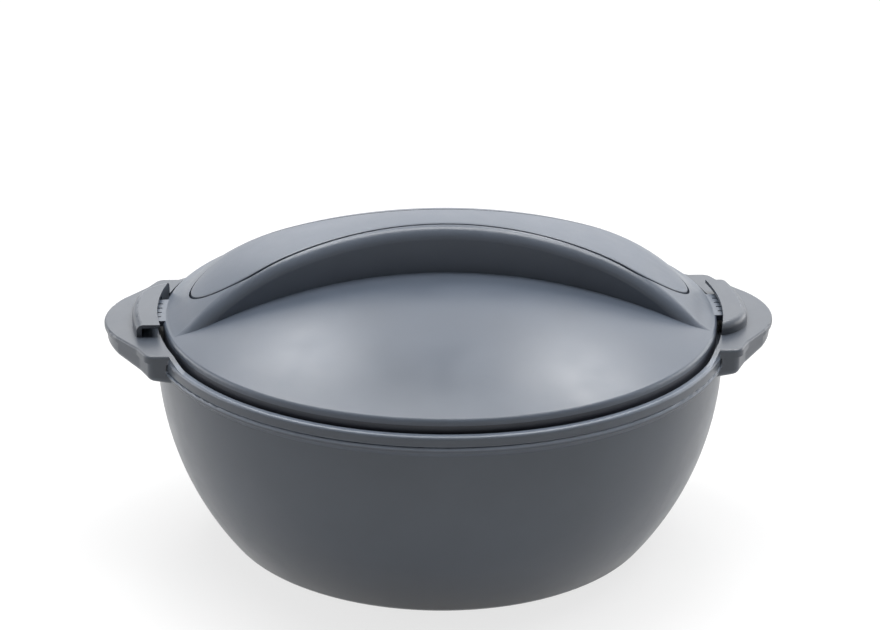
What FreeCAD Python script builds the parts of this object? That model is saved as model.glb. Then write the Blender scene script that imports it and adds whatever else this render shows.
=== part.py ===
import FreeCAD, Part
import math
import os

# Insulated chapati casserole with a twist-lock lid, in millimetres.
# +Z is up, the origin is the centre of the underside, and X runs through both side handles.

# Heights, all measured from the table
rim_z = 95.5
collar_top = rim_z
seam_z = rim_z - 4.3
lid_seam_z = rim_z + 2.8
dome_top = rim_z + 28.6
ridge_top = rim_z + 48.7

# Outer bowl
wall = 2.4
side_radius = 136.0
side_axis_r = -10.0
side_axis_z = rim_z - 10.7
lip_r = 127.9
lip_edge_r = 1.0
lip_height = 2.2
lip_taper = 2.4
base_corner_r = 6.0
foot_inner_r = 70.0
foot_height = 1.5
fill_hole_r = 12.0
plug_head_r = 15.0
plug_head_h = 1.2
seam_gap = 0.2

# Rim collar
collar_r = 127.6
collar_edge_r = 1.4
groove_outer_r = 124.6
groove_inner_r = 120.2
groove_floor = rim_z - 3.4
bead_r = 2.6
mouth_r = 110.6
spigot_outer_r = 124.2
spigot_inner_r = 122.0
spigot_low = rim_z - 6.4

# Side handles, drawn for the +X side
handle_tip = 149.0
lobe_x = 142.4
lobe_y = 23.5
waist_x = 132.6
waist_y = 37.0
shoulder_x = 127.8
shoulder_y = 47.0
shoulder_round = 5.0
waist_round = 10.0
handle_root_x = 112.0
plate_top = rim_z + 2.8
plate_seam = rim_z - 1.2
slope_start_x = 118.0
tip_lift = 2.1
plate_edge_r = 1.2
ramp_reach = 13.0
ramp_inset = 0.5
tray_root_depth = 9.8
tray_tip_depth = 6.4
tray_inset = 1.2
tray_edge_r = 2.8
tray_wall = 2.4
tray_floor_tip = 1.2

# Lock hoods on the handles and the tabs that turn in under them
hood_inner_r = 125.4
hood_top = rim_z + 8.4
hood_roof = 1.5
hood_mouth_x = 133.2
hood_mouth_y = 24.5
hood_far_x = 136.4
hood_far_y = 4.0
hood_turn_x = 136.0
hood_turn_y = -12.0
hood_end_y = -29.9
hood_edge_r = 3.0
pocket_r = 133.2
pocket_closed_deg = -7.0
pocket_open_deg = 14.0
slot_floor = rim_z - 2.5
slot_closed_deg = -13.5
slot_open_deg = 10.0
tab_half = 13.0
tab_end_r = 131.4
tab_low = rim_z + 3.2
tab_top = rim_z + 5.7
tab_rib_count = 5
tab_rib_depth = 0.35

# Steel liner
steel = 0.6
liner_flange_r = 116.0
liner_top = rim_z - 8.4
liner_mouth_r = 109.4
liner_floor_z = 24.0
liner_floor_r = 105.0
liner_corner_r = 13.0
liner_curl_r = 1.5

# Lid
lid_r = 122.9
lid_wall = 2.4
dome_radius = 335.0
lid_edge_r = 1.6
crown_radius = 218.0
crown_end_radius = 119.0
crown_join_r = 71.0
crown_blend_r = 114.5
crown_foot_r = 121.0
crown_reach_r = 134.0
scoop_radius = 319.0
ridge_half_base = 16.6
wall_draft = 0.035
ridge_front_edge_r = 5.4
ridge_back_edge_r = 3.0
ridge_reach_r = lid_r - 1.6
hollow_reach_r = 112.0
skirt_inner_r = 120.9
skirt_bottom = rim_z - 2.6
ring_flange_r = 117.0
ring_flange_h = 2.0

# Handle inlay: two round ends joined by a waist
inlay_end_x = 87.7
inlay_end_r = 23.2
inlay_half_waist = 9.8
inlay_thickness = 1.6
inlay_pocket = 1.8
inlay_gap = 0.5
inlay_crown = 0.3

# Lid underside
pan_wall = 2.0
pan_flange_z = lid_seam_z - ring_flange_h
pan_top_r = 114.6
pan_floor_r = 110.4
pan_floor_z = rim_z - 4.5
pan_hole_r = 7.0
pan_plug_r = 9.5
pan_plug_h = 1.2
core_gap = 0.4


def vec(x, y, z=0.0):
    return FreeCAD.Vector(x, y, z)


def tangent_arc(start, along, end):
    """An arc that leaves its start in a given direction."""
    chord = end - start
    side = (chord - along * chord.dot(along)).normalize()
    radius = chord.dot(chord) / (2 * side.dot(chord))
    centre = start + side * radius
    outwards = ((start + end) * 0.5 - centre).normalize()
    return Part.Arc(start, centre + outwards * radius, end).toShape()


def line(a, b):
    return Part.makeLine(vec(*a), vec(*b))


def arc(a, b, c):
    return Part.Arc(vec(*a), vec(*b), vec(*c)).toShape()


def turned(edges):
    """The solid of revolution about Z of a closed outline in the XZ plane."""
    outline = Part.Wire(Part.sortEdges(edges)[0])
    return Part.Face(outline).revolve(vec(0, 0, 0), vec(0, 0, 1), 360)


def turned_polygon(points):
    """The same, for an outline of straight lines given as (radius, height) pairs."""
    corners = [vec(r, 0, z) for r, z in points]
    face = Part.Face(Part.makePolygon(corners + corners[:1]))
    return face.revolve(vec(0, 0, 0), vec(0, 0, 1), 360)


def disc(radius, low, high):
    return Part.makeCylinder(radius, high - low, vec(0, 0, low))


def box(x0, x1, y0, y1, z0, z1):
    return Part.makeBox(x1 - x0, y1 - y0, z1 - z0, vec(x0, y0, z0))


def sector(r0, r1, deg0, deg1, low, high):
    """A block between two radii and two angles."""
    outer = Part.makeCylinder(r1, high - low, vec(0, 0, low), vec(0, 0, 1), deg1 - deg0)
    outer.rotate(vec(0, 0, 0), vec(0, 0, 1), deg0)
    return outer.cut(disc(r0, low - 1, high + 1))


def half_turn(shape):
    other = shape.copy()
    other.rotate(vec(0, 0, 0), vec(0, 0, 1), 180)
    return other


def one_solid(shape):
    clean = shape.removeSplitter()
    if len(clean.Solids) != 1:
        raise ValueError("expected one solid, got %d" % len(clean.Solids))
    return clean.Solids[0]


def save(name, shape):
    solid = one_solid(shape)
    if not solid.isValid():
        raise ValueError(name + " is not valid")
    solid.exportStep("parts/" + name + ".step")


def side_r(z, inset=0.0):
    """Radius of the bowl's rounded side at a height, moved in by a wall thickness."""
    rise = z - side_axis_z
    return side_axis_r + math.sqrt((side_radius - inset) ** 2 - rise ** 2)


def side_arc(z0, z1, inset=0.0):
    ends = [(side_r(z, inset), 0, z) for z in (z0, (z0 + z1) / 2, z1)]
    return arc(*ends)


def bowl_shell():
    """The bowl's wall and floor, turned from one outline."""
    top = seam_z - seam_gap
    lip_low = top - lip_height
    blend = lip_low - lip_taper
    floor_r = side_r(wall, wall)
    round_r = lip_r - lip_edge_r * (1 - math.sqrt(0.5))
    round_z = top - lip_edge_r * (1 - math.sqrt(0.5))
    lip_round = ((lip_r - lip_edge_r, 0, top), (round_r, 0, round_z), (lip_r, 0, top - lip_edge_r))
    outside = [
        arc(*lip_round),
        line((lip_r, 0, top - lip_edge_r), (lip_r, 0, lip_low)),
        line((lip_r, 0, lip_low), (side_r(blend), 0, blend)),
        side_arc(blend, 0.0),
    ]
    under = [
        line((side_r(0.0), 0, 0), (foot_inner_r, 0, 0)),
        line((foot_inner_r, 0, 0), (foot_inner_r, 0, foot_height)),
        line((foot_inner_r, 0, foot_height), (0, 0, foot_height)),
    ]
    inside = [
        line((0, 0, foot_height), (0, 0, foot_height + wall)),
        line((0, 0, foot_height + wall), (foot_inner_r, 0, foot_height + wall)),
        line((foot_inner_r, 0, foot_height + wall), (floor_r, 0, wall)),
        side_arc(wall, blend, wall),
        line((side_r(blend, wall), 0, blend), (lip_r - wall, 0, lip_low)),
        line((lip_r - wall, 0, lip_low), (lip_r - wall, 0, top)),
        line((lip_r - wall, 0, top), (lip_r - lip_edge_r, 0, top)),
    ]
    shell = turned(outside + under + inside)
    corner = [e for e in shell.Edges if is_circle_at(e, side_r(0.0), 0.0)]
    return shell.makeFillet(base_corner_r, corner)


def is_circle_at(edge, radius, z):
    bound = edge.BoundBox
    flat = abs(bound.ZMin - z) < 1e-4 and abs(bound.ZMax - z) < 1e-4
    return flat and abs(bound.XMax - radius) < 1e-3


def handle_outline(inset, z):
    """Plan of one handle: a round lobe at the tip, a waist and two square shoulders."""
    tip = handle_tip - inset
    lobe = (lobe_x - 0.7 * inset, lobe_y - 0.7 * inset)
    waist = (waist_x - inset, waist_y - 0.4 * inset)
    shoulder = (shoulder_x - inset, shoulder_y - inset)
    root = (handle_root_x, shoulder_y - inset)
    right = [lobe, waist, shoulder, root]
    corners = right + [(x, -y) for x, y in reversed(right)]
    points = [(x, y, z) for x, y in corners]
    edges = [line(a, b) for a, b in zip(points, points[1:])]
    edges.append(arc(points[-1], (tip, 0, z), points[0]))
    return Part.Face(Part.Wire(edges))


def upright_edges(shape, x, y):
    """The vertical edges at a place in plan and at its mirror image."""
    found = []
    for edge in shape.Edges:
        bound = edge.BoundBox
        upright = bound.XLength < 1e-4 and bound.YLength < 1e-4
        if upright and abs(bound.XMax - x) < 1e-3 and abs(abs(bound.YMax) - y) < 1e-3:
            found.append(edge)
    return found


def handle_block(inset, low, high):
    """A handle's plan carried up; moved in by more than 2 mm its waist is too shallow to round."""
    block = handle_outline(inset, low).extrude(vec(0, 0, high - low))
    corners = upright_edges(block, shoulder_x - inset, shoulder_y - inset)
    block = block.makeFillet(max(1.0, shoulder_round - inset), corners)
    if inset > 2:
        return block
    waists = upright_edges(block, waist_x - inset, waist_y - 0.4 * inset)
    return block.makeFillet(waist_round, waists)


def slope_z(x, z_root, z_tip):
    """Height of a plane that rises evenly from the handle's root to its tip."""
    share = (x - slope_start_x) / (handle_tip - slope_start_x)
    return z_root + share * (z_tip - z_root)


def above_slope(z_root, z_tip):
    """Everything above a plane that rises from the handle's root to its tip."""
    low_x = handle_root_x - 40
    high_x = handle_tip + 20
    corners = [
        vec(low_x, -90, slope_z(low_x, z_root, z_tip)),
        vec(high_x, -90, slope_z(high_x, z_root, z_tip)),
        vec(high_x, -90, plate_top + 40),
        vec(low_x, -90, plate_top + 40),
    ]
    face = Part.Face(Part.makePolygon(corners + corners[:1]))
    return face.extrude(vec(0, 180, 0))


def lower_handle():
    """The tray-shaped lower half of a handle, moulded on the bowl and closed by the collar."""
    top = plate_seam - seam_gap
    root_low = plate_seam - tray_root_depth
    tip_low = plate_seam + tip_lift - tray_tip_depth
    tray = handle_block(tray_inset, root_low - 8, plate_top)
    tray = tray.common(above_slope(root_low, tip_low))
    under = [e for e in tray.Edges if is_under_edge(e, root_low, tip_low)]
    tray = tray.makeFillet(tray_edge_r, under)
    tray = tray.cut(above_slope(top, top + tip_lift))
    hollow = handle_block(tray_inset + tray_wall, root_low - 8, plate_top)
    hollow = hollow.common(above_slope(root_low + tray_wall, top + tip_lift - tray_floor_tip))
    hollow = hollow.common(box(lip_r + 1.0, 200, -shoulder_y, shoulder_y, 0, 200))
    tray = tray.cut([hollow, disc(collar_r + 0.3, seam_z - seam_gap, 200)])
    return tray.cut(disc(lip_r - wall, 0, 200))


def is_under_edge(edge, z_root, z_tip):
    """The edges round the tray's sloping underside, not the one inside the bowl."""
    first = edge.valueAt(edge.FirstParameter)
    middle = edge.valueAt((edge.FirstParameter + edge.LastParameter) / 2)
    last = edge.valueAt(edge.LastParameter)
    on_slope = all(abs(p.z - slope_z(p.x, z_root, z_tip)) < 1e-3 for p in (first, middle, last))
    return on_slope and middle.x > handle_root_x + 1


def outer_bowl():
    tray = lower_handle()
    bowl = bowl_shell().fuse([tray, half_turn(tray)])
    return bowl.cut(disc(fill_hole_r, -1, 10))


def collar_ring():
    """The ring that covers the foam: outer flange, lid groove, bead and mouth cone."""
    low = seam_z
    under = groove_floor - 2.2
    bead_top = rim_z + 0.4
    bead_low = bead_top - bead_r
    bead_mid = groove_inner_r - bead_r
    bead_in = groove_inner_r - 2 * bead_r
    cone_low = rim_z - 6.7
    pad = rim_z - 8.2
    edge = collar_r - collar_edge_r
    diagonal = collar_edge_r * math.sqrt(0.5)
    edge_mid = (edge + diagonal, 0, collar_top - collar_edge_r + diagonal)
    outline = [
        line((collar_r, 0, low), (collar_r, 0, collar_top - collar_edge_r)),
        arc((collar_r, 0, collar_top - collar_edge_r), edge_mid, (edge, 0, collar_top)),
        line((edge, 0, collar_top), (groove_outer_r, 0, collar_top)),
        line((groove_outer_r, 0, collar_top), (groove_outer_r, 0, groove_floor)),
        line((groove_outer_r, 0, groove_floor), (groove_inner_r, 0, groove_floor)),
        line((groove_inner_r, 0, groove_floor), (groove_inner_r, 0, bead_low)),
        arc((groove_inner_r, 0, bead_low), (bead_mid, 0, bead_top), (bead_in, 0, bead_low)),
        line((bead_in, 0, bead_low), (mouth_r, 0, cone_low)),
        line((mouth_r, 0, cone_low), (mouth_r, 0, pad)),
        line((mouth_r, 0, pad), (liner_flange_r + 1, 0, pad)),
        line((liner_flange_r + 1, 0, pad), (liner_flange_r + 1, 0, under)),
        line((liner_flange_r + 1, 0, under), (spigot_inner_r, 0, under)),
        line((spigot_inner_r, 0, under), (spigot_inner_r, 0, spigot_low)),
        line((spigot_inner_r, 0, spigot_low), (spigot_outer_r, 0, spigot_low)),
        line((spigot_outer_r, 0, spigot_low), (spigot_outer_r, 0, low)),
        line((spigot_outer_r, 0, low), (collar_r, 0, low)),
    ]
    return turned(outline)


def upper_handle():
    """The plate on top of a handle, with its outer edge rounded."""
    block = handle_block(0.0, seam_z, plate_top)
    level = [e for e in block.Edges if is_level_at(e, plate_top)]
    block = block.makeFillet(plate_edge_r, level)
    block = block.common(above_slope(plate_seam, plate_seam + tip_lift))
    return block.cut(disc(groove_outer_r + 0.5, 0, 200))


def root_ramp():
    """The slope that leads the collar's top up to a handle's shoulders."""
    inner = disc(groove_outer_r + 0.5, 0, 200)
    ring = disc(collar_r - ramp_inset, seam_z, plate_top).cut(inner)
    ramps = []
    for side in (1, -1):
        foot_y = side * (shoulder_y + ramp_reach)
        corners = [
            vec(100, side * (shoulder_y - 4), seam_z),
            vec(100, side * (shoulder_y - 4), plate_top),
            vec(100, side * (shoulder_y - 1), plate_top),
            vec(100, foot_y, collar_top - 0.3),
            vec(100, foot_y, seam_z),
        ]
        wedge = Part.Face(Part.makePolygon(corners + corners[:1])).extrude(vec(60, 0, 0))
        ramps.append(ring.common(wedge))
    return ramps


def is_level_at(edge, z):
    bound = edge.BoundBox
    return abs(bound.ZMin - z) < 1e-4 and bound.ZLength < 1e-4


def hood_block():
    """The raised hood that covers a lid tab, closed at one end and open at the other."""
    low = plate_top - 2.0
    inner_a = (math.sqrt(hood_inner_r ** 2 - hood_end_y ** 2), hood_end_y, low)
    inner_b = (math.sqrt(hood_inner_r ** 2 - hood_mouth_y ** 2), hood_mouth_y, low)
    mouth = (hood_mouth_x, hood_mouth_y, low)
    turn = (hood_turn_x, hood_turn_y, low)
    outer = arc(mouth, (hood_far_x, hood_far_y, low), turn)
    edges = [
        arc(inner_a, (hood_inner_r, 0, low), inner_b),
        line(inner_b, mouth),
        outer,
        tangent_arc(vec(*turn), outer.tangentAt(outer.LastParameter), vec(*inner_a)),
    ]
    block = Part.Face(Part.Wire(edges)).extrude(vec(0, 0, hood_top - low))
    crown = [e for e in block.Edges if is_hood_rim(e, hood_top)]
    return block.makeFillet(hood_edge_r, crown)


def is_hood_rim(edge, top):
    """The two outer edges of the hood's roof, not its mouth or its inner side."""
    middle = edge.valueAt((edge.FirstParameter + edge.LastParameter) / 2)
    outside = math.hypot(middle.x, middle.y) > hood_inner_r + 1
    return is_level_at(edge, top) and outside and edge.BoundBox.YLength > 4


def rim_collar():
    plate = upper_handle()
    hood = hood_block()
    pieces = [plate, hood] + root_ramp()
    collar = collar_ring().fuse(pieces + [half_turn(piece) for piece in pieces])
    roof = hood_top - hood_roof
    slot = sector(groove_outer_r - 1, hood_inner_r, slot_closed_deg, slot_open_deg, slot_floor, 200)
    pocket = sector(groove_outer_r, pocket_r, pocket_closed_deg, pocket_open_deg, plate_top, roof)
    cuts = [slot, half_turn(slot), pocket, half_turn(pocket)]
    return collar.cut(cuts)


def liner_outline(offset):
    """Outline of the liner's food side, or of its back when moved by the steel's thickness."""
    floor = liner_floor_z - offset
    corner = liner_corner_r + offset
    curl = liner_curl_r - offset
    mouth = liner_mouth_r + offset
    top = liner_top - offset
    curl_mid = curl * (1 - math.sqrt(0.5))
    wall_r = liner_floor_r + offset
    bend_z = floor + corner
    slope = math.atan2(liner_mouth_r - liner_floor_r, liner_top - liner_curl_r - bend_z)
    centre_r = wall_r - corner
    half = (math.pi / 2 - slope) / 2
    start = (centre_r + corner * math.cos(slope), 0, bend_z - corner * math.sin(slope))
    mid = (centre_r + corner * math.cos(slope + half), 0, bend_z - corner * math.sin(slope + half))
    return [
        line((liner_flange_r, 0, top), (mouth + curl, 0, top)),
        arc((mouth + curl, 0, top), (mouth + curl_mid, 0, top - curl_mid), (mouth, 0, top - curl)),
        line((mouth, 0, top - curl), start),
        arc(start, mid, (centre_r, 0, floor)),
        line((centre_r, 0, floor), (0, 0, floor)),
    ]


def steel_liner():
    inside = liner_outline(0.0)
    back = liner_outline(steel)
    floor_edge = line((0, 0, liner_floor_z), (0, 0, liner_floor_z - steel))
    lip = line((liner_flange_r, 0, liner_top), (liner_flange_r, 0, liner_top - steel))
    return turned(inside + [floor_edge] + back + [lip])


def bowl_insulation():
    """Foam between the steel liner and the outer bowl, under the collar."""
    gap = 0.2
    low = foot_height + wall + gap
    high = rim_z - 11.0
    inset = wall + gap
    outline = [
        line((0, 0, low), (side_r(low, inset), 0, low)),
        side_arc(low, high, inset),
        line((side_r(high, inset), 0, high), (0, 0, high)),
        line((0, 0, high), (0, 0, low)),
    ]
    block = turned(outline)
    hollow = liner_outline(steel + gap)
    top_z = liner_top - steel - gap
    close = [
        line((liner_flange_r, 0, top_z), (liner_flange_r, 0, rim_z)),
        line((liner_flange_r, 0, rim_z), (0, 0, rim_z)),
        line((0, 0, rim_z), (0, 0, liner_floor_z - steel - gap)),
    ]
    return block.cut(turned(hollow + close))


def base_plug():
    """Press-in cap that closes the hole through which the foam is filled."""
    top = foot_height + wall
    head = disc(plug_head_r, foot_height - plug_head_h, foot_height)
    shaft = disc(fill_hole_r - 0.1, foot_height, top)
    return head.fuse(shaft)


def dome_solid(thickness, radius, low):
    """The low dome of the lid, from a level plane up, inside a cylinder."""
    ball = Part.makeSphere(dome_radius - thickness, vec(0, 0, dome_top - dome_radius))
    return ball.common(disc(radius, low, dome_top + 5))


def scoop_cone(shrink):
    """The drafted cone that cuts one finger recess and leaves the ridge's front wall."""
    low = rim_z - 40
    high = rim_z + 60
    r_low = scoop_radius + wall_draft * (low - rim_z) + shrink
    r_high = scoop_radius + wall_draft * (high - rim_z) + shrink
    centre = vec(0, -(ridge_half_base + scoop_radius), low)
    return Part.makeCone(r_low, r_high, high - low, centre)


def dome_z(r):
    """Height of the dome's surface at a radius."""
    return dome_top - dome_radius + math.sqrt(dome_radius ** 2 - r ** 2)


def arc_point(centre_r, centre_z, radius, angle):
    """A point on an arc, by its angle from straight up."""
    return vec(centre_r + radius * math.sin(angle), 0, centre_z + radius * math.cos(angle))


def crown_edges(offset):
    """The crown's outline: a flat arc, a tighter one, and a hollow one that runs into the dome."""
    turn = math.asin(crown_join_r / crown_radius)
    inner_z = ridge_top - crown_radius
    outer_r = (crown_radius - crown_end_radius) * math.sin(turn)
    outer_z = inner_z + (crown_radius - crown_end_radius) * math.cos(turn)
    end = math.asin((crown_blend_r - outer_r) / crown_end_radius)
    flat = crown_radius + offset
    tight = crown_end_radius + offset
    inner = [arc_point(0, inner_z, flat, a) for a in (0, turn / 2, turn)]
    outer = [arc_point(outer_r, outer_z, tight, a) for a in (turn, (turn + end) / 2, end)]
    falling = vec(math.cos(end), 0, -math.sin(end))
    foot = vec(crown_foot_r, 0, dome_z(crown_foot_r) + offset)
    reach = vec(crown_reach_r, 0, foot.z - (crown_reach_r - crown_foot_r) * math.tan(end))
    return [
        Part.Arc(*inner).toShape(),
        Part.Arc(*outer).toShape(),
        tangent_arc(outer[2], falling, foot),
        Part.makeLine(foot, reach),
    ], inner[0], reach


def crown_solid(offset):
    """Everything under the crown's surface, moved outwards by an offset."""
    surface, top, reach = crown_edges(offset)
    low = rim_z - 30
    walls = [
        Part.makeLine(reach, vec(reach.x, 0, low)),
        Part.makeLine(vec(reach.x, 0, low), vec(0, 0, low)),
        Part.makeLine(vec(0, 0, low), top),
    ]
    return turned(surface + walls)


def ridge_block(thickness, shrink):
    """The arched ridge across the lid, between its two finger recesses."""
    block = crown_solid(-thickness).common(box(-140, 140, -80, 80, rim_z - 30, ridge_top + 5))
    scoop = scoop_cone(shrink)
    return block.cut([scoop, half_turn(scoop)])


def rounded_ridge():
    """The ridge with its long edges rounded: full at the front, tight at the back."""
    block = ridge_block(0.0, 0.0)
    front = [e for e in block.Edges if is_brow(e, -1)]
    block = block.makeFillet(ridge_front_edge_r, front)
    back = [e for e in block.Edges if is_brow(e, 1)]
    return block.makeFillet(ridge_back_edge_r, back)


def is_brow(edge, side):
    """The long arched edges where the crown meets the ridge's wall on one side."""
    middle = edge.valueAt((edge.FirstParameter + edge.LastParameter) / 2)
    if middle.y * side < 0:
        return False
    from_axis = math.hypot(middle.x, abs(middle.y) - ridge_half_base - scoop_radius)
    on_wall = abs(from_axis - scoop_radius - wall_draft * (middle.z - rim_z)) < 0.01
    return on_wall and middle.z > rim_z


def inlay_outline(grow, z):
    """Plan of the inlay: a waist that swells into two round ends."""
    end_r = inlay_end_r + grow
    half = inlay_half_waist + grow
    waist_r = (inlay_end_x ** 2 + half ** 2 - end_r ** 2) / (2 * (end_r - half))
    centre_y = half + waist_r
    reach = waist_r / (waist_r + end_r)
    touch_x = inlay_end_x * reach
    touch_y = centre_y * (1 - reach)
    tip = inlay_end_x + end_r
    edges = [
        arc((touch_x, -touch_y, z), (tip, 0, z), (touch_x, touch_y, z)),
        arc((touch_x, touch_y, z), (0, half, z), (-touch_x, touch_y, z)),
        arc((-touch_x, touch_y, z), (-tip, 0, z), (-touch_x, -touch_y, z)),
        arc((-touch_x, -touch_y, z), (0, -half, z), (touch_x, -touch_y, z)),
    ]
    return Part.Face(Part.Wire(edges))


def inlay_slab(grow, top_offset, depth):
    """A plate of even thickness that follows the ridge's crown inside the inlay's outline."""
    prism = inlay_outline(grow, rim_z).extrude(vec(0, 0, 80))
    return prism.common(crown_solid(top_offset)).cut(crown_solid(top_offset - depth))


def lid_cover():
    low = lid_seam_z
    outer = dome_solid(0.0, lid_r, low)
    rim = [e for e in outer.Edges if is_circle_at(e, lid_r, dome_z(lid_r))]
    outer = outer.makeFillet(lid_edge_r, rim)
    ridge = rounded_ridge()
    outer = outer.fuse(ridge.common(disc(ridge_reach_r, low, ridge_top + 5)))
    hollow = dome_solid(lid_wall, skirt_inner_r - 0.2, low - 1)
    hollow_ridge = ridge_block(lid_wall + inlay_pocket, lid_wall)
    hollow_ridge = hollow_ridge.common(disc(hollow_reach_r, low - 1, ridge_top))
    cover = outer.cut([hollow, hollow_ridge])
    cover = cover.cut(inlay_slab(inlay_gap, 3.0, inlay_pocket + 3.0))
    tab = lid_tab()
    return cover.fuse([tab, half_turn(tab)])


def handle_inlay():
    """The plate set flush into the ridge's crown."""
    return inlay_slab(0.0, inlay_crown, inlay_thickness + inlay_crown)


def lid_tab():
    """The ribbed tab on the lid's rim that locks under a hood, on the +X side."""
    tab = box(100, 140, -tab_half, tab_half, tab_low, tab_top)
    tab = tab.common(disc(tab_end_r, 0, 200)).cut(disc(skirt_inner_r, 0, 200))
    pitch = 2 * tab_half / tab_rib_count
    ribs = []
    for index in range(tab_rib_count - 1):
        y = -tab_half + pitch * (index + 1)
        ribs.append(box(lid_r + 0.6, 140, y - 0.5, y + 0.5, tab_top - tab_rib_depth, 200))
    return tab.cut(ribs)


def lid_rim_ring():
    """The lid's skirt, which drops into the collar's groove."""
    flange_low = lid_seam_z - ring_flange_h
    return turned_polygon([
        (lid_r, skirt_bottom),
        (lid_r, lid_seam_z),
        (ring_flange_r, lid_seam_z),
        (ring_flange_r, flange_low),
        (skirt_inner_r, flange_low),
        (skirt_inner_r, skirt_bottom),
    ])


def lid_inner_pan():
    """The dished plate that closes the lid from below."""
    top = pan_flange_z + pan_wall
    pan = turned_polygon([
        (0, pan_floor_z),
        (pan_floor_r, pan_floor_z),
        (pan_top_r, pan_flange_z),
        (ring_flange_r, pan_flange_z),
        (ring_flange_r, top),
        (pan_top_r - 1.2, top),
        (pan_floor_r - 1.6, pan_floor_z + pan_wall),
        (0, pan_floor_z + pan_wall),
    ])
    return pan.cut(disc(pan_hole_r, 0, 200))


def lid_fill_plug():
    head = disc(pan_plug_r, pan_floor_z - pan_plug_h, pan_floor_z)
    shaft = disc(pan_hole_r - 0.1, pan_floor_z, pan_floor_z + pan_wall)
    return head.fuse(shaft)


def lid_insulation():
    """Foam between the inner pan and the dome; it is round about the lid's own axis."""
    low = pan_floor_z + pan_wall + core_gap
    radius = pan_floor_r - 3.4
    return dome_solid(lid_wall + core_gap, radius, low)


def main():
    os.makedirs("parts", exist_ok=True)
    makers = [
        outer_bowl,
        rim_collar,
        steel_liner,
        bowl_insulation,
        base_plug,
        lid_cover,
        handle_inlay,
        lid_rim_ring,
        lid_inner_pan,
        lid_fill_plug,
        lid_insulation,
    ]
    for maker in makers:
        save(maker.__name__, maker())


main()
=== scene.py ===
# %% [markdown]
# # An insulated casserole with a twist-lock lid
# This lesson dresses a finished CAD assembly: a round double-walled bowl, a rim collar with two
# handles, and a domed lid whose arched ridge is the grip. The frame brings in the solids. We give
# each one a moulded, polished or foamed finish, make the plate on top of the ridge anew with a
# finer edge, and set up a white studio that sees the pot from the same side as the photograph.

# %% Load the frame
import bmesh
import bpy
import math
import numpy as np
from mathutils import Matrix, Vector


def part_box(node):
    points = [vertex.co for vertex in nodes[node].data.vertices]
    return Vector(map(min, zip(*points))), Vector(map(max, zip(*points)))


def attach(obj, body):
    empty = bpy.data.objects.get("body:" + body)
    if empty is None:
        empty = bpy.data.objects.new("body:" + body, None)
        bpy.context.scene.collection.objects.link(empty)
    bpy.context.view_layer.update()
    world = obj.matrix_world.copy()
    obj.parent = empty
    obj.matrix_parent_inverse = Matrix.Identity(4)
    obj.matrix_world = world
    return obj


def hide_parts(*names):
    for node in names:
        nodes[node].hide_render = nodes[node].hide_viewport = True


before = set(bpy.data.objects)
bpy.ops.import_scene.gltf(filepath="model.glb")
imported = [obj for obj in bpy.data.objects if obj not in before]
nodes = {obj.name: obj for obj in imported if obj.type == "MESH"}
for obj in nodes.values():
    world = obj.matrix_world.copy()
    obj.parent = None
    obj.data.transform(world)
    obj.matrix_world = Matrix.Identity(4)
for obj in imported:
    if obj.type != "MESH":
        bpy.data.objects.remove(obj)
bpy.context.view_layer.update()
print("nodes:", sorted(nodes))

# %% [markdown]
# ## Landmarks
# Every later step needs a few heights and radii. They come from the boxes of the solids, so the
# scene follows the solids if these ever change size.

# %% Landmarks
table_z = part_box("outer_bowl")[0][2]
collar_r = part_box("rim_collar")[1][1]
lid_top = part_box("lid_cover")[1][2]
ring_above_rim = 0.0028
rim_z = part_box("lid_rim_ring")[1][2] - ring_above_rim
print("rim height %.4f m, collar radius %.4f m, lid top %.4f m" % (rim_z, collar_r, lid_top))

# %% [markdown]
# ## A small kit for node materials
# All finishes here are built from nodes, which can be written out as one long list of sockets.
# A few helpers are easier to read: each makes one small thing, such as a noise fixed to the piece
# or a blend of two colours, and hands back the socket that the next one needs.

# %% Material kit
# The colour sockets of a Mix node, whose names stand for numbers and directions as well.
mix_first = 6
mix_second = 7
mix_result = 2


def new_material(name):
    """A material holding only a Principled shader and the output."""
    mat = bpy.data.materials.new(name)
    mat.use_nodes = True
    tree = mat.node_tree
    shader = tree.nodes["Principled BSDF"]
    return mat, tree, shader


def add_node(tree, kind, **inputs):
    """One node with some of its inputs set by name; underscores stand for spaces."""
    made = tree.nodes.new(kind)
    for key, value in inputs.items():
        made.inputs[key.replace("_", " ")].default_value = value
    return made


def object_noise(tree, scale, detail, roughness=0.5):
    """Cloudy noise fixed to the piece; scale is the number of clumps in a metre."""
    place = tree.nodes.new("ShaderNodeTexCoord")
    noise = add_node(tree, "ShaderNodeTexNoise", Scale=scale, Detail=detail, Roughness=roughness)
    tree.links.new(place.outputs["Object"], noise.inputs["Vector"])
    return noise


def remap(tree, socket, low, high, from_low=0.3, from_high=0.7):
    """Stretches a noise value to run from low to high."""
    ranger = tree.nodes.new("ShaderNodeMapRange")
    ranger.inputs["From Min"].default_value = from_low
    ranger.inputs["From Max"].default_value = from_high
    ranger.inputs["To Min"].default_value = low
    ranger.inputs["To Max"].default_value = high
    tree.links.new(socket, ranger.inputs["Value"])
    return ranger.outputs["Result"]


def mix_colours(tree, factor, first, second):
    """Blends two colours by a value between 0 and 1."""
    mixer = tree.nodes.new("ShaderNodeMix")
    mixer.data_type = "RGBA"
    mixer.inputs[mix_first].default_value = first
    mixer.inputs[mix_second].default_value = second
    tree.links.new(factor, mixer.inputs["Factor"])
    return mixer.outputs[mix_result]


def joined_by(tree, operation, first, second):
    """The result of one operation, such as MULTIPLY or MAXIMUM, on two number sockets."""
    maths = tree.nodes.new("ShaderNodeMath")
    maths.operation = operation
    tree.links.new(first, maths.inputs[0])
    tree.links.new(second, maths.inputs[1])
    return maths.outputs["Value"]


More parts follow.
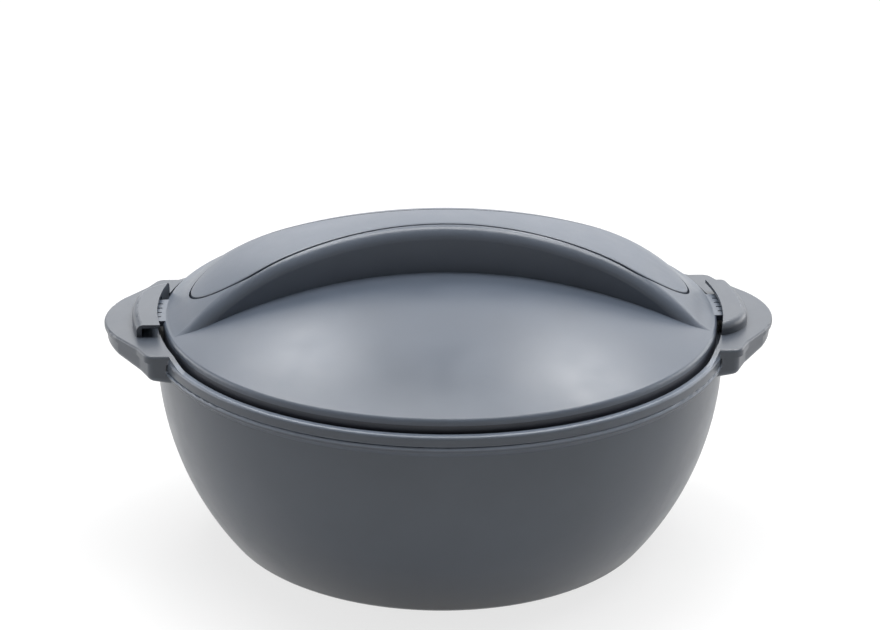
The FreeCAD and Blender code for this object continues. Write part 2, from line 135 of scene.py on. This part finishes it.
def place_in_section(tree):
    """Distance from the pot's axis and height above the origin, as two number sockets."""
    place = tree.nodes.new("ShaderNodeTexCoord")
    parts = tree.nodes.new("ShaderNodeSeparateXYZ")
    tree.links.new(place.outputs["Object"], parts.inputs["Vector"])
    flat = tree.nodes.new("ShaderNodeCombineXYZ")
    tree.links.new(parts.outputs["X"], flat.inputs["X"])
    tree.links.new(parts.outputs["Y"], flat.inputs["Y"])
    reach = tree.nodes.new("ShaderNodeVectorMath")
    reach.operation = "LENGTH"
    tree.links.new(flat.outputs["Vector"], reach.inputs[0])
    return reach.outputs["Value"], parts.outputs["Z"]


def shaded(colour, share):
    """The same colour made darker or lighter by a factor."""
    return tuple(share * part for part in colour[:3]) + (1.0,)


def stacked_bumps(tree, shader, layers):
    """Adds bump layers one on another; each is a height socket and its depth in metres."""
    below = None
    for height, depth in layers:
        bump = add_node(tree, "ShaderNodeBump", Strength=1.0, Distance=depth)
        tree.links.new(height, bump.inputs["Height"])
        if below is not None:
            tree.links.new(below, bump.inputs["Normal"])
        below = bump.outputs["Normal"]
    tree.links.new(below, shader.inputs["Normal"])


def linear(red, green, blue):
    """Turns screen values from 0 to 255 into the linear colour that shaders use."""
    shares = np.array([red, green, blue]) / 255.0
    curved = np.where(shares <= 0.04045, shares / 12.92, ((shares + 0.055) / 1.055) ** 2.4)
    return (float(curved[0]), float(curved[1]), float(curved[2]), 1.0)


def dress(name, mat):
    """Puts one finish on every material slot of a CAD node."""
    piece = nodes[name]
    for index in range(len(piece.data.materials)):
        piece.material_slots[index].material = mat
    print("%s wears %s" % (name, mat.name))


print("middle grey on the screen is %.3f in a shader" % linear(128, 128, 128)[0])

# %% [markdown]
# ## Painted edge highlights
# The collar's rounded top edge and the lip just below it are painted a shade lighter: a painted
# highlight where these edges catch light. Such highlights can be painted by hand, or found from how
# sharp an edge is, but a solid's mesh has too few points on its edges for either. On this pot these
# edges are circles about the axis, so a point's distance from such a circle says how strong the
# painted highlight is.

# %% Painted edge highlights
highlight_patches_per_metre = 140.0
full_highlight_share = 0.55


def painted_edge_highlights(tree, circles):
    """1 on each circle, falling to 0 at its reach; a circle is (radius, height, reach)."""
    from_axis, height = place_in_section(tree)
    section = tree.nodes.new("ShaderNodeCombineXYZ")
    tree.links.new(from_axis, section.inputs["X"])
    tree.links.new(height, section.inputs["Z"])
    total = None
    for circle_r, circle_z, reach in circles:
        away = tree.nodes.new("ShaderNodeVectorMath")
        away.operation = "DISTANCE"
        away.inputs[1].default_value = (circle_r, 0.0, circle_z)
        tree.links.new(section.outputs["Vector"], away.inputs[0])
        share = remap(tree, away.outputs["Value"], 1.0, 0.0, full_highlight_share * reach, reach)
        total = share if total is None else joined_by(tree, "MAXIMUM", total, share)
    patchy = object_noise(tree, highlight_patches_per_metre, 3.0)
    return joined_by(tree, "MULTIPLY", total, remap(tree, patchy.outputs["Fac"], 0.7, 1.0))


# Two painted highlights: the collar's rounded top edge and the lip just below it.
body_highlight_circles = [(collar_r - 0.0015, rim_z, 0.0020),
             (collar_r - 0.0002, rim_z - 0.0051, 0.0012)]
print("%d rubbed circles on the collar" % len(body_highlight_circles))

# %% [markdown]
# ## Moulded plastic
# The shell, collar and lid are injection moulded in a slate grey with a satin gloss. Three things
# keep such plastic from looking like paint: a faint clouding of the pigment, a shine that changes
# a little from place to place, and a skin that is not quite flat. We make all three with noise of
# different sizes: clouds and waves of about four centimetres, smears of two, and a grain of less
# than half a millimetre. A bump is enough for the skin, since its depth is far below a millimetre.

# %% Moulded plastic
clouds_per_metre = 28.0
smears_per_metre = 55.0
waves_per_metre = 24.0
grains_per_metre = 2600.0
plastic_ior = 1.47
highlight_lift = 2.4
micron = 0.000001


def moulded_plastic(name, colour, shine, grain_depth, wave_depth, highlit=()):
    """Satin plastic; shine is its middle roughness, the depths are in metres."""
    mat, tree, shader = new_material(name)
    cloud = object_noise(tree, clouds_per_metre, 3.0)
    darker = shaded(colour, 0.94)
    lighter = shaded(colour, 1.07)
    tint = mix_colours(tree, remap(tree, cloud.outputs["Fac"], 0.0, 1.0), darker, lighter)
    # Lightens the colour towards the edge circles: a painted highlight.
    if highlit:
        highlight_share = painted_edge_highlights(tree, highlit)
        highlight_tint = mix_colours(tree, highlight_share, darker, shaded(colour, highlight_lift))
        tree.links.new(tint, highlight_tint.node.inputs[mix_first])
        tint = highlight_tint
    tree.links.new(tint, shader.inputs["Base Color"])
    smear = object_noise(tree, smears_per_metre, 5.0, 0.62)
    gloss = remap(tree, smear.outputs["Fac"], shine - 0.035, shine + 0.045)
    tree.links.new(gloss, shader.inputs["Roughness"])
    wave = object_noise(tree, waves_per_metre, 1.0)
    grain = object_noise(tree, grains_per_metre, 2.0)
    layers = [(wave.outputs["Fac"], wave_depth), (grain.outputs["Fac"], grain_depth)]
    stacked_bumps(tree, shader, layers)
    shader.inputs["IOR"].default_value = plastic_ior
    return mat


# The body plastic carries the painted edge highlights on the collar and lip.
body_plastic = moulded_plastic("body_plastic", linear(66, 72, 81), 0.325, 10 * micron, 80 * micron,
                               highlit=body_highlight_circles)
lid_plastic = moulded_plastic("lid_plastic", linear(76, 84, 96), 0.325, 10 * micron, 80 * micron)
inlay_plastic = moulded_plastic("inlay_plastic", linear(78, 86, 98), 0.36, 20 * micron, 40 * micron)
# The rim ring's plastic is a darker copy of the lid's: painted shade for the slot under the lid's
# edge.
ring_plastic = moulded_plastic("ring_plastic", linear(50, 53, 62), 0.38, 10 * micron, 40 * micron)
pan_plastic = moulded_plastic("pan_plastic", linear(72, 79, 89), 0.36, 10 * micron, 60 * micron)
plug_plastic = moulded_plastic("plug_plastic", linear(60, 66, 75), 0.42, 20 * micron, 30 * micron)

for node_name in ("outer_bowl", "rim_collar"):
    dress(node_name, body_plastic)
dress("lid_cover", lid_plastic)
dress("handle_inlay", inlay_plastic)
dress("lid_rim_ring", ring_plastic)
dress("lid_inner_pan", pan_plastic)
for node_name in ("base_plug", "lid_fill_plug"):
    dress(node_name, plug_plastic)

# %% [markdown]
# ## Spun steel
# The liner is a stainless bowl that was spun and then polished on a lathe, so its fine marks run
# round it. The shader could stretch its gloss along a direction, but that shows no single marks.
# We take a point's distance from the axis less its height, and let noise vary along that one
# number only: the marks then come out as rings.

# %% Spun steel
marks_per_metre = 2200.0
bands_per_metre = 160.0


def spun_steel(name):
    """Bright steel whose shine and skin change only along the profile, in fine rings."""
    mat, tree, shader = new_material(name)
    from_axis, height = place_in_section(tree)
    ring_place = tree.nodes.new("ShaderNodeCombineXYZ")
    tree.links.new(joined_by(tree, "SUBTRACT", from_axis, height), ring_place.inputs["X"])
    rings = add_node(tree, "ShaderNodeTexNoise", Scale=marks_per_metre, Detail=4.0, Roughness=0.7)
    tree.links.new(ring_place.outputs["Vector"], rings.inputs["Vector"])
    bands = add_node(tree, "ShaderNodeTexNoise", Scale=bands_per_metre, Detail=2.0)
    tree.links.new(ring_place.outputs["Vector"], bands.inputs["Vector"])
    tint = mix_colours(tree, remap(tree, bands.outputs["Fac"], 0.0, 1.0),
                       linear(196, 198, 200), linear(214, 215, 216))
    tree.links.new(tint, shader.inputs["Base Color"])
    gloss = remap(tree, rings.outputs["Fac"], 0.12, 0.24)
    tree.links.new(gloss, shader.inputs["Roughness"])
    stacked_bumps(tree, shader, [(rings.outputs["Fac"], 6 * micron)])
    shader.inputs["Metallic"].default_value = 1.0
    return mat


liner_steel = spun_steel("liner_steel")
dress("steel_liner", liner_steel)

# %% [markdown]
# ## Rigid foam
# The hollow between the walls is filled with poured foam. It is cream coloured and full of small
# cells, which show wherever it is cut. Carving them would take millions of faces that the walls
# then hide, so one cell pattern gives both the pits and the mottling.

# %% Rigid foam
cells_per_metre = 900.0


def poured_foam(name):
    """Cream foam with cells of about one millimetre."""
    mat, tree, shader = new_material(name)
    place = tree.nodes.new("ShaderNodeTexCoord")
    cells = add_node(tree, "ShaderNodeTexVoronoi", Scale=cells_per_metre)
    tree.links.new(place.outputs["Object"], cells.inputs["Vector"])
    cell_far = remap(tree, cells.outputs["Distance"], 0.0, 1.0, 0.0, 0.7)
    tint = mix_colours(tree, cell_far, linear(226, 209, 164), linear(240, 228, 190))
    tree.links.new(tint, shader.inputs["Base Color"])
    skin = object_noise(tree, 60.0, 4.0)
    tree.links.new(remap(tree, skin.outputs["Fac"], 0.8, 0.95), shader.inputs["Roughness"])
    stacked_bumps(tree, shader, [(skin.outputs["Fac"], 600 * micron), (cell_far, 200 * micron)])
    return mat


foam = poured_foam("foam")
for node_name in ("bowl_insulation", "lid_insulation"):
    dress(node_name, foam)

# %% [markdown]
# ## Grip inlay
# Along the top of the ridge lies a separate plate, shaped like a long dog bone, whose edge is
# drawn down all round so that the fingers don't feel a step. In the solids its edge is square.
# It could be had by bevelling that solid, but a bevel follows every facet of its curved edge.
# Here the plate is worked out instead: its outline is made of four arcs, and its surface is the
# crown's own curve with a rolled edge, carried round that outline.

# %% Crown and outline of the inlay
crown_radius = 0.218
crown_end_radius = 0.119
crown_join = 0.071
inlay_proud = 0.0003
inlay_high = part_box("handle_inlay")[1]
ridge_top = inlay_high[2] - inlay_proud
solid_end_r = 0.0232
solid_half_waist = 0.0098
seam_more = 0.0004
inlay_end_r = solid_end_r - seam_more
inlay_end_x = inlay_high[0] - solid_end_r
inlay_half_waist = solid_half_waist - seam_more


def crown_height(reach, proud):
    """Height of the crown at a distance from the axis, moved out of the surface by `proud`.

    Two circles that touch: a flat one about the middle, and outside the joint a tighter one
    whose centre lies on the line from the flat one's centre to the joint.
    """
    turn = math.asin(crown_join / crown_radius)
    flat_z = ridge_top - crown_radius
    tight_x = (crown_radius - crown_end_radius) * math.sin(turn)
    tight_z = flat_z + (crown_radius - crown_end_radius) * math.cos(turn)
    joint = (crown_radius + proud) * math.sin(turn)
    near = np.minimum(reach, joint)
    far = np.maximum(reach, joint) - tight_x
    flat = flat_z + np.sqrt((crown_radius + proud) ** 2 - near ** 2)
    tight = tight_z + np.sqrt((crown_end_radius + proud) ** 2 - far ** 2)
    return np.where(reach < joint, flat, tight)


def inlay_outline(end_steps, waist_steps):
    """Points and outward directions round the dog bone, as two arrays.

    Each end is an arc about (+-end_x, 0). Each waist is an arc about a point on the Y axis, with
    the radius at which it touches both ends.
    """
    half = inlay_half_waist
    waist_r = (inlay_end_x ** 2 + half ** 2 - inlay_end_r ** 2) / (2 * (inlay_end_r - half))
    lean = math.atan2(inlay_end_x, half + waist_r)
    end_turn = math.pi / 2 + lean
    a = np.linspace(-end_turn, end_turn, end_steps, endpoint=False)
    b = np.linspace(lean, -lean, waist_steps, endpoint=False)
    end_out = np.stack([np.cos(a), np.sin(a)], axis=1)
    end_at = end_out * inlay_end_r + [inlay_end_x, 0.0]
    waist_out = np.stack([-np.sin(b), np.cos(b)], axis=1)
    waist_at = [0.0, half + waist_r] - waist_out * waist_r
    at = np.concatenate([end_at, waist_at, -end_at, -waist_at])
    out = np.concatenate([end_out, waist_out, -end_out, -waist_out])
    return at, out


outline_at, outline_out = inlay_outline(72, 120)
print("the inlay's outline has %d points" % len(outline_at))

# %% [markdown]
# ## Surface of the inlay
# The plate's skin is a set of closed rows round it: straight blends over the top, a quarter of an
# ellipse down the edge, and blends back to the middle underneath. Lifting every point by the
# crown's height at its distance from the axis bends the whole plate along the ridge at once.

# %% Surface of the inlay
edge_roll = 0.0014
edge_drop = 0.0003
inlay_depth = 0.0018


def inlay_rows():
    """The whole plate as rows of points round it, from the middle of its top to that of its floor.

    Top and floor are straight blends from the long middle line to the outline. Between them the
    edge follows a quarter of an ellipse: inwards by roll times (1 - sin a), downwards by drop
    times (1 - cos a).
    """
    middle = np.zeros_like(outline_at)
    middle[:, 0] = np.clip(outline_at[:, 0], -inlay_end_x, inlay_end_x)
    inner = outline_at - outline_out * edge_roll
    rows = []
    for share in np.linspace(0.0, 1.0, 15):
        rows.append((middle + (inner - middle) * share, 0.0))
    for angle in np.linspace(0.0, math.pi / 2, 9)[1:]:
        inset = edge_roll * (1.0 - math.sin(angle))
        rows.append((outline_at - outline_out * inset, edge_drop * (1.0 - math.cos(angle))))
    rows.append((outline_at, inlay_depth))
    for share in (0.66, 0.33, 0.0):
        rows.append((middle + (outline_at - middle) * share, inlay_depth))
    place = np.stack([at for at, drop in rows])
    drop = np.array([drop for at, drop in rows])[:, None]
    height = crown_height(np.hypot(place[..., 0], place[..., 1]), inlay_proud) - drop
    return np.concatenate([place, height[..., None]], axis=2)


def closed_grid(name, rows):
    """A mesh from rows of points that each close on themselves; doubled points are merged."""
    count, around = rows.shape[:2]
    number = np.arange(count * around).reshape(count, around)
    onward = np.roll(number, -1, axis=1)
    quads = np.stack([number[:-1], number[1:], onward[1:], onward[:-1]], axis=2).reshape(-1, 4)
    mesh = bpy.data.meshes.new(name)
    mesh.from_pydata(rows.reshape(-1, 3).tolist(), [], quads.tolist())
    work = bmesh.new()
    work.from_mesh(mesh)
    bmesh.ops.remove_doubles(work, verts=work.verts, dist=1e-6)
    bmesh.ops.recalc_face_normals(work, faces=work.faces)
    work.to_mesh(mesh)
    work.free()
    mesh.shade_smooth()
    piece = bpy.data.objects.new(name, mesh)
    bpy.context.scene.collection.objects.link(piece)
    return piece


grip_inlay = closed_grid("grip_inlay", inlay_rows())
grip_inlay.data.materials.append(inlay_plastic)
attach(grip_inlay, "lid")
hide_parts("handle_inlay")
inlay_size = tuple(round(side, 4) for side in grip_inlay.dimensions)
print("grip inlay: %d faces, size %s m" % (len(grip_inlay.data.polygons), inlay_size))

# %% [markdown]
# ## Camera
# The photograph looks down at 21.6 degrees from nearly straight ahead. The view is built from
# that direction, a distance of 1.05 m and a tilt of the horizon of about half a degree. It could
# be matched by eye, but the ellipse of the rim gives all three. The small shift only brings the
# middle of the rim to its place in the picture.

# %% Camera
scene = bpy.context.scene
picture_width = 880.0
look_at = Vector((0.0, 0.0, rim_z))
camera_distance = 1.05
camera_rise = math.radians(21.6)
camera_turn = math.radians(3.3)
camera_roll = math.radians(-0.6)
focal_pixels = 2348.7
shift_pixels = (-0.1, 4.2)

camera_data = bpy.data.cameras.new("photo_camera")
camera = bpy.data.objects.new("photo_camera", camera_data)
scene.collection.objects.link(camera)
scene.camera = camera
camera_data.sensor_fit = "HORIZONTAL"
camera_data.sensor_width = 36.0
camera_data.lens = focal_pixels / picture_width * camera_data.sensor_width
away = Vector((-math.sin(camera_turn) * math.cos(camera_rise),
               -math.cos(camera_turn) * math.cos(camera_rise),
               math.sin(camera_rise)))
forward = -away
level = forward.cross(Vector((0.0, 0.0, 1.0))).normalized()
upward = level.cross(forward)
side_axis = level * math.cos(camera_roll) - upward * math.sin(camera_roll)
top_axis = level * math.sin(camera_roll) + upward * math.cos(camera_roll)
placing = Matrix((side_axis, top_axis, away)).transposed().to_4x4()
placing.translation = look_at + away * camera_distance
camera.matrix_world = placing
camera_data.shift_x = shift_pixels[0] / picture_width
camera_data.shift_y = shift_pixels[1] / picture_width
print("lens %.1f mm on a %.0f mm wide frame" % (camera_data.lens, camera_data.sensor_width))

# %% [markdown]
# ## Studio floor
# The pot stands on white card. The photograph's pot is cut out on pure white, which a lit card
# never quite reaches. Part of the card therefore glows by itself where the camera sees it, which
# leaves a soft shadow, and the light it sends on to the pot is that of plain card.

# %% Floor
def card(name, corners):
    """A flat sheet through four corners."""
    mesh = bpy.data.meshes.new(name)
    mesh.from_pydata(corners, [], [(0, 1, 2, 3)])
    sheet = bpy.data.objects.new(name, mesh)
    scene.collection.objects.link(sheet)
    return sheet


def mirrored_or_seen(tree):
    """1 where the camera looks straight at a surface or sees it mirrored, and 0 for its light."""
    ray = tree.nodes.new("ShaderNodeLightPath").outputs
    mirrored = joined_by(tree, "MAXIMUM", ray["Is Camera Ray"], ray["Is Glossy Ray"])
    return joined_by(tree, "MAXIMUM", mirrored, ray["Is Transmission Ray"])


floor_half = 4.0
floor_z = table_z - 0.0002
shadow_fill = 0.75
corner_signs = ((-1, -1), (1, -1), (1, 1), (-1, 1))
floor = card("floor", [(floor_half * x, floor_half * y, floor_z) for x, y in corner_signs])
floor_mat, floor_tree, floor_shader = new_material("white_card")
floor_shader.inputs["Base Color"].default_value = (0.85, 0.85, 0.85, 1.0)
floor_shader.inputs["Roughness"].default_value = 0.9
floor_shader.inputs["Specular IOR Level"].default_value = 0.2
plain_white = add_node(floor_tree, "ShaderNodeEmission", Strength=1.0)
fill = floor_tree.nodes.new("ShaderNodeMath")
fill.operation = "MULTIPLY"
fill.inputs[1].default_value = shadow_fill
floor_tree.links.new(mirrored_or_seen(floor_tree), fill.inputs[0])
floor_mix = floor_tree.nodes.new("ShaderNodeMixShader")
floor_tree.links.new(fill.outputs["Value"], floor_mix.inputs["Fac"])
floor_tree.links.new(floor_shader.outputs["BSDF"], floor_mix.inputs[1])
floor_tree.links.new(plain_white.outputs["Emission"], floor_mix.inputs[2])
floor_out = floor_tree.nodes["Material Output"]
floor_tree.links.new(floor_mix.outputs["Shader"], floor_out.inputs["Surface"])
floor.data.materials.append(floor_mat)
print("floor %.1f m wide at height %.4f m" % (2 * floor_half, floor_z))

# %% [markdown]
# ## Lamps and air
# A broad card of light behind and above is what the lid mirrors towards the camera, and two
# smaller lamps make the pair of soft glints on it. A narrow one overhead fills the hollow under
# the ridge, and two at the sides light the ends of the lid and the handles. One even white world
# would be simpler, but it washes out the bowl's front. So the air sends little light from in
# front and more from behind, and shows as plain white where it is seen.

# %% Lamps
def soft_lamp(name, place, target, width, height, level):
    """A rectangular lamp; level is its brightness, where 1 shows as white."""
    data = bpy.data.lights.new(name, "AREA")
    data.shape = "RECTANGLE"
    data.size = width
    data.size_y = height
    data.energy = level * math.pi * width * height
    lamp = bpy.data.objects.new(name, data)
    scene.collection.objects.link(lamp)
    lamp.location = place
    towards = Vector(target) - Vector(place)
    lamp.rotation_euler = towards.to_track_quat("-Z", "Y").to_euler()
    print("%s: %.1f W" % (name, data.energy))


pot_middle = (0.0, 0.0, 0.1)
soft_lamp("back_card", (0.5, 2.1, 1.35), pot_middle, 3.4, 2.1, 1.0)
soft_lamp("top_card", (0.05, 0.2, 1.6), pot_middle, 2.0, 0.5, 10.5)
soft_lamp("glint_left", (-0.34, 0.72, 1.02), pot_middle, 0.26, 0.32, 10.0)
soft_lamp("glint_right", (0.43, 0.63, 1.08), pot_middle, 0.28, 0.34, 12.0)
soft_lamp("side_card_left", (-1.15, 0.4, 0.35), pot_middle, 1.0, 0.5, 2.8)
soft_lamp("side_card_right", (1.15, 0.4, 0.35), pot_middle, 1.0, 0.5, 3.0)

# %% Air
front_level = 0.04
back_level = 0.75
world = bpy.data.worlds.new("studio_air")
scene.world = world
world.use_nodes = True
world_tree = world.node_tree
backdrop = world_tree.nodes["Background"]
air = world_tree.nodes.new("ShaderNodeBackground")
air.inputs["Color"].default_value = (1.0, 1.0, 1.0, 1.0)
backdrop.inputs["Color"].default_value = (1.0, 1.0, 1.0, 1.0)
backdrop.inputs["Strength"].default_value = 1.0
direction = world_tree.nodes.new("ShaderNodeTexCoord")
heading = world_tree.nodes.new("ShaderNodeSeparateXYZ")
world_tree.links.new(direction.outputs["Generated"], heading.inputs["Vector"])
glow = remap(world_tree, heading.outputs["Y"], front_level, back_level, -0.2, 0.4)
world_tree.links.new(glow, air.inputs["Strength"])
chooser = world_tree.nodes.new("ShaderNodeMixShader")
world_tree.links.new(mirrored_or_seen(world_tree), chooser.inputs["Fac"])
world_tree.links.new(air.outputs["Background"], chooser.inputs[1])
world_tree.links.new(backdrop.outputs["Background"], chooser.inputs[2])
world_out = world_tree.nodes["World Output"]
world_tree.links.new(chooser.outputs["Shader"], world_out.inputs["Surface"])
scene.view_settings.view_transform = "Standard"
print("air level %.2f in front and %.2f behind" % (front_level, back_level))
